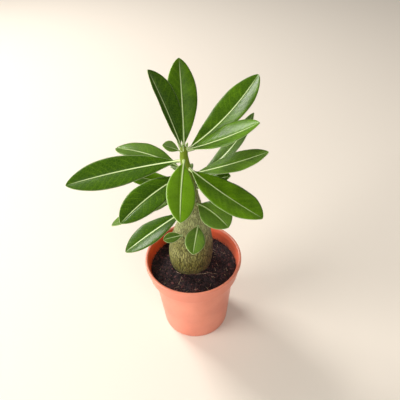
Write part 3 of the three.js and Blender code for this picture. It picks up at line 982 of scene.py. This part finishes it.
def build_crumbs(looks, material):
    """Loose crumbs and bits of bark, each sunk a little into the surface."""
    rng = random.Random(5)
    wall = MIX_RADIUS - CRUMB_MARGIN
    stem_x, stem_y, _ = stem_centre(SOIL_TOP)
    small, large = crumb_shapes()
    lumps, shades = [], []
    while len(lumps) < looks.crumbs:
        angle = rng.uniform(0, 2 * math.pi)
        radius = wall * math.sqrt(rng.random())
        x, y = radius * math.cos(angle), radius * math.sin(angle)
        edge = stem_outline(np.array([math.atan2(y - stem_y, x - stem_x)]), SOIL_TOP, 0.4)[0]
        if math.hypot(x - stem_x, y - stem_y) < math.hypot(edge[0] - stem_x, edge[1] - stem_y):
            continue
        big = rng.random() < LARGE_CRUMB_SHARE
        points, faces = large if big else small
        size = looks.crumb_size / MM * rng.uniform(*(LARGE_CRUMB if big else COMMON_CRUMB))
        stretch = np.array([rng.uniform(0.7, 1.5), rng.uniform(0.6, 1.1), rng.uniform(0.35, 0.8)])
        jitter = np.array([[rng.uniform(0.82, 1.18)] for _ in points])
        turn = Matrix.Rotation(rng.uniform(0, 6.28), 3, "Z")
        turn = np.array(turn @ Matrix.Rotation(rng.gauss(0, 0.35), 3, "X"))
        lump = (points * jitter * stretch * size) @ turn.T
        rest = soil_height(x, y) + 0.25 * size * stretch[2]
        lumps.append((lump + [x, y, rest], faces))
        shades.append(np.full(len(points), rng.random()))
    attributes = {"crumb": np.concatenate(shades)}
    return make_piece("loose_crumbs", *merged(lumps), material, attributes, CRUMB_EDGE)


def build_fibres(material):
    """Root fibres on the mix: long ones by the stem and short ones all over."""
    rng = random.Random(8)
    stem_x, stem_y, _ = stem_centre(SOIL_TOP)
    paths = []
    for route in LONG_FIBRES:
        route = np.array(route, float)
        marks = np.linspace(0, len(route) - 1, 6 * len(route))
        x = np.interp(marks, range(len(route)), route[:, 0]) + 0.15 * np.sin(1.7 * marks)
        y = np.interp(marks, range(len(route)), route[:, 1]) + 0.12 * np.cos(2.3 * marks)
        z = soil_height(x, y) + LONG_FIBRE_LIFT + 0.2 * np.sin(3 * marks)
        paths.append((np.column_stack([x, y, z]), LONG_FIBRE_RADIUS))
    while len(paths) < FIBRE_COUNT:
        angle, radius = rng.uniform(0, 2 * math.pi), rng.uniform(23, MIX_RADIUS - 6)
        x0, y0 = radius * math.cos(angle), radius * math.sin(angle)
        if math.hypot(x0 - stem_x, y0 - stem_y) < FIBRE_CLEARANCE:
            continue
        heading, bend, reach = rng.uniform(0, 6.28), rng.uniform(-0.5, 0.5), rng.uniform(2, 6)
        t = np.linspace(0, 1, 9)
        x = x0 + reach * t * np.cos(heading + bend * t)
        y = y0 + reach * t * np.sin(heading + bend * t)
        z = soil_height(x, y) + 0.55 + rng.uniform(0, 0.5) * np.sin(np.pi * t)
        paths.append((np.column_stack([x, y, z]), rng.uniform(0.09, 0.17)))
    return make_piece("root_fibres", *merged([tube(path, radius) for path, radius in paths]), material)


# Pot


def pot_profile(height, rim_radius):
    """Corners of the pot's section from the middle of its underside, round the rim, to its floor."""
    lip_bottom = height - LIP_HEIGHT
    inner_wall = COLLAR_RADIUS - POT_WALL
    return [
        (0, 0, 0),
        (DRAIN_CIRCLE - DRAIN_RADIUS - 3, 0, 0),
        (BASE_RADIUS - 0.2, 0, 1.5),
        (BODY_TOP_RADIUS, COLLAR_BOTTOM - 0.8, 0.5),
        (COLLAR_RADIUS, COLLAR_BOTTOM, 0.9),
        (COLLAR_RADIUS, lip_bottom - 0.3, 0.8),
        (rim_radius, lip_bottom, 0.6),
        (rim_radius, height, 1.1),
        (rim_radius - LIP_WIDTH, height, 1.1),
        (inner_wall, lip_bottom - 2, 1.5),
        (inner_wall - 0.3, LEDGE_HEIGHT + 0.8, 0.6),
        (BODY_TOP_RADIUS - POT_WALL, LEDGE_HEIGHT, 0.6),
        (BASE_RADIUS - POT_WALL, POT_FLOOR, 1.5),
        (0, POT_FLOOR, 0),
    ]


def drain_cutter(angle):
    """A peg through the floor where the drain hole at an angle goes."""
    middle = on_circle(DRAIN_CIRCLE, angle, 0)
    ring = middle + on_circle(DRAIN_RADIUS, full_turn(DRAIN_SIDES), 0)
    return closed_grid(np.array([ring + [0, 0, -2], ring + [0, 0, POT_FLOOR + 2]]))


def build_pot(looks, material):
    """The pot turned from its section, with drain holes cut through its floor."""
    profile = rounded(pot_profile(looks.height / MM, looks.rim_radius / MM))
    body = profile[1:-1]
    rings = on_circle(body[:, :1], full_turn(looks.sides), body[:, 1:])
    points, faces = closed_grid(rings)
    rim_row = int(np.argmax(body[:, 1]))
    inside = np.zeros(rings.shape[:2])
    inside[rim_row + ROUND_STEPS + 1 :] = 1
    attributes = {"inside": over_points(rings, inside, last=1)}
    pot = make_piece("nursery_pot", points, faces, material, attributes, SHARP_EDGE)
    pegs = [drain_cutter(angle) for angle in full_turn(DRAIN_HOLES)]
    cutter = make_piece("drain_cutter", *merged(pegs), material)
    cut = pot.modifiers.new("drain", "BOOLEAN")
    cut.object = cutter
    cut.operation = "DIFFERENCE"
    cut.solver = "EXACT"
    evaluated = pot.evaluated_get(bpy.context.evaluated_depsgraph_get())
    holed = bpy.data.meshes.new_from_object(evaluated)
    pot.modifiers.remove(cut)
    pot.data = holed
    holed.set_sharp_from_angle(angle=SHARP_EDGE)
    bpy.data.objects.remove(cutter)
    return pot


# Operators


class DESERTROSE_OT_pot(bpy.types.Operator):
    """Build the nursery pot"""

    bl_idname = "desert_rose.pot"
    bl_label = "Pot"

    def execute(self, context):
        looks = context.scene.desert_rose_pot
        settle(build_pot(looks, plastic_finish(looks)), "pot_plastic", "pot")
        return {"FINISHED"}


class DESERTROSE_OT_mix(bpy.types.Operator):
    """Fill the pot with potting mix, loose crumbs and root fibres"""

    bl_idname = "desert_rose.mix"
    bl_label = "Potting Mix"

    def execute(self, context):
        looks = context.scene.desert_rose_mix
        material = mix_finish(looks)
        settle(build_mix(looks, material), "potting_mix", "soil")
        settle(build_crumbs(looks, material), "potting_mix")
        settle(build_fibres(fibre_finish(looks)), "potting_mix")
        return {"FINISHED"}


class DESERTROSE_OT_stem(bpy.types.Operator):
    """Grow the swollen base and the stem with its leaf scars"""

    bl_idname = "desert_rose.stem"
    bl_label = "Stem"

    def execute(self, context):
        looks = context.scene.desert_rose_stem
        settle(build_stem(looks, bark_finish(looks)), "bark", "caudex_stem")
        return {"FINISHED"}


class DESERTROSE_OT_leaves(bpy.types.Operator):
    """Grow every leaf from the growing tip down"""

    bl_idname = "desert_rose.leaves"
    bl_label = "Leaves"

    def execute(self, context):
        looks = context.scene.desert_rose_leaf
        grown = leaf_finish("glossy_leaf", looks, 0)
        young = leaf_finish("young_leaf", looks, 0.15)
        missing = set(LEAF_NODES) ^ {leaf.name for leaf in LEAVES}
        if missing:
            raise ValueError(f"leaves without a solid, or solids without a leaf: {sorted(missing)}")
        for phase, leaf in enumerate(LEAVES):
            is_young = leaf.name in YOUNG_LEAVES
            blade = build_leaf(leaf, phase, looks, young if is_young else grown)
            settle(blade, "young_leaf" if is_young else "leaf", leaf.name)
        return {"FINISHED"}


class DESERTROSE_OT_stage(bpy.types.Operator):
    """Set the plain floor, the soft light and the photograph's view"""

    bl_idname = "desert_rose.stage"
    bl_label = "Stage"

    def execute(self, context):
        looks = context.scene.desert_rose_stage
        build_floor(floor_finish(looks))
        set_surroundings(context.scene, looks)
        for name, place, size, setting in LIGHTS:
            add_window(name, place, size, getattr(looks, setting))
        add_eye(context.scene)
        return {"FINISHED"}


def build_floor(material):
    """A flat floor that the pot stands on."""
    mesh = bpy.data.meshes.new("floor")
    corners = [(x * FLOOR_REACH, y * FLOOR_REACH, 0) for x, y in ((-1, -1), (1, -1), (1, 1), (-1, 1))]
    mesh.from_pydata(corners, [], [(0, 1, 2, 3)])
    mesh.materials.append(material)
    add_object("floor", mesh)


def set_surroundings(scene, looks):
    """Even light from all around, and plain colours."""
    world = bpy.data.worlds.new("surroundings")
    world.use_nodes = True
    background = world.node_tree.nodes["Background"]
    background.inputs["Color"].default_value = (*looks.sky_colour, 1)
    background.inputs["Strength"].default_value = looks.sky_strength
    scene.world = world
    scene.view_settings.view_transform = "Standard"


def add_window(name, place, size, power):
    """A soft rectangle of light that faces the plant."""
    light = bpy.data.lights.new(name, "AREA")
    light.shape = "RECTANGLE"
    light.size, light.size_y = size
    light.energy = power
    light.color = WARM_WHITE
    lamp = add_object(name, light)
    lamp.location = place
    towards = Vector((0, 0, POT_TOP)) - lamp.location
    lamp.rotation_euler = towards.to_track_quat("-Z", "Y").to_euler()


def add_eye(scene):
    """The camera, where the photograph was taken from."""
    lens = bpy.data.cameras.new("eye")
    lens.sensor_width = 36
    lens.lens = lens.sensor_width * FOCAL_PIXELS / FRAME_PIXELS
    lens.clip_start = 0.01
    eye = add_object("eye", lens)
    pitch = Matrix.Rotation(math.radians(90 - LOOK_DOWN), 4, "X")
    roll = Matrix.Rotation(math.radians(VIEW_ROLL), 4, "Z")
    eye.matrix_world = Matrix.Translation(EYE) @ pitch @ roll
    scene.camera = eye


class DESERTROSE_PT_panel(bpy.types.Panel):
    """Lists each operator with the settings it uses"""

    bl_idname = "DESERTROSE_PT_panel"
    bl_label = "Desert Rose"
    bl_space_type = "VIEW_3D"
    bl_region_type = "UI"
    bl_category = "Desert Rose"

    def draw(self, context):
        for operator, name, _ in STEPS:
            box = self.layout.box()
            box.operator(operator.bl_idname)
            settings = getattr(context.scene, name)
            for key in settings.bl_rna.properties.keys():
                if key not in ("rna_type", "name"):
                    box.prop(settings, key)


# Each operator, with the name and the type of its settings
STEPS = [
    (DESERTROSE_OT_pot, "desert_rose_pot", PotSettings),
    (DESERTROSE_OT_mix, "desert_rose_mix", MixSettings),
    (DESERTROSE_OT_stem, "desert_rose_stem", StemSettings),
    (DESERTROSE_OT_leaves, "desert_rose_leaf", LeafSettings),
    (DESERTROSE_OT_stage, "desert_rose_stage", StageSettings),
]
OPERATORS, NAMES, GROUPS = zip(*STEPS)
CLASSES = [*GROUPS, *OPERATORS, DESERTROSE_PT_panel]


def register():
    for entry in CLASSES:
        bpy.utils.register_class(entry)
    for name, group in zip(NAMES, GROUPS):
        setattr(bpy.types.Scene, name, PointerProperty(type=group))


def unregister():
    for name in NAMES:
        delattr(bpy.types.Scene, name)
    for entry in reversed(CLASSES):
        bpy.utils.unregister_class(entry)


def main():
    register()
    bpy.ops.desert_rose.pot()
    bpy.ops.desert_rose.mix()
    bpy.ops.desert_rose.stem()
    bpy.ops.desert_rose.leaves()
    bpy.ops.desert_rose.stage()


if __name__ == "__main__":
    main()
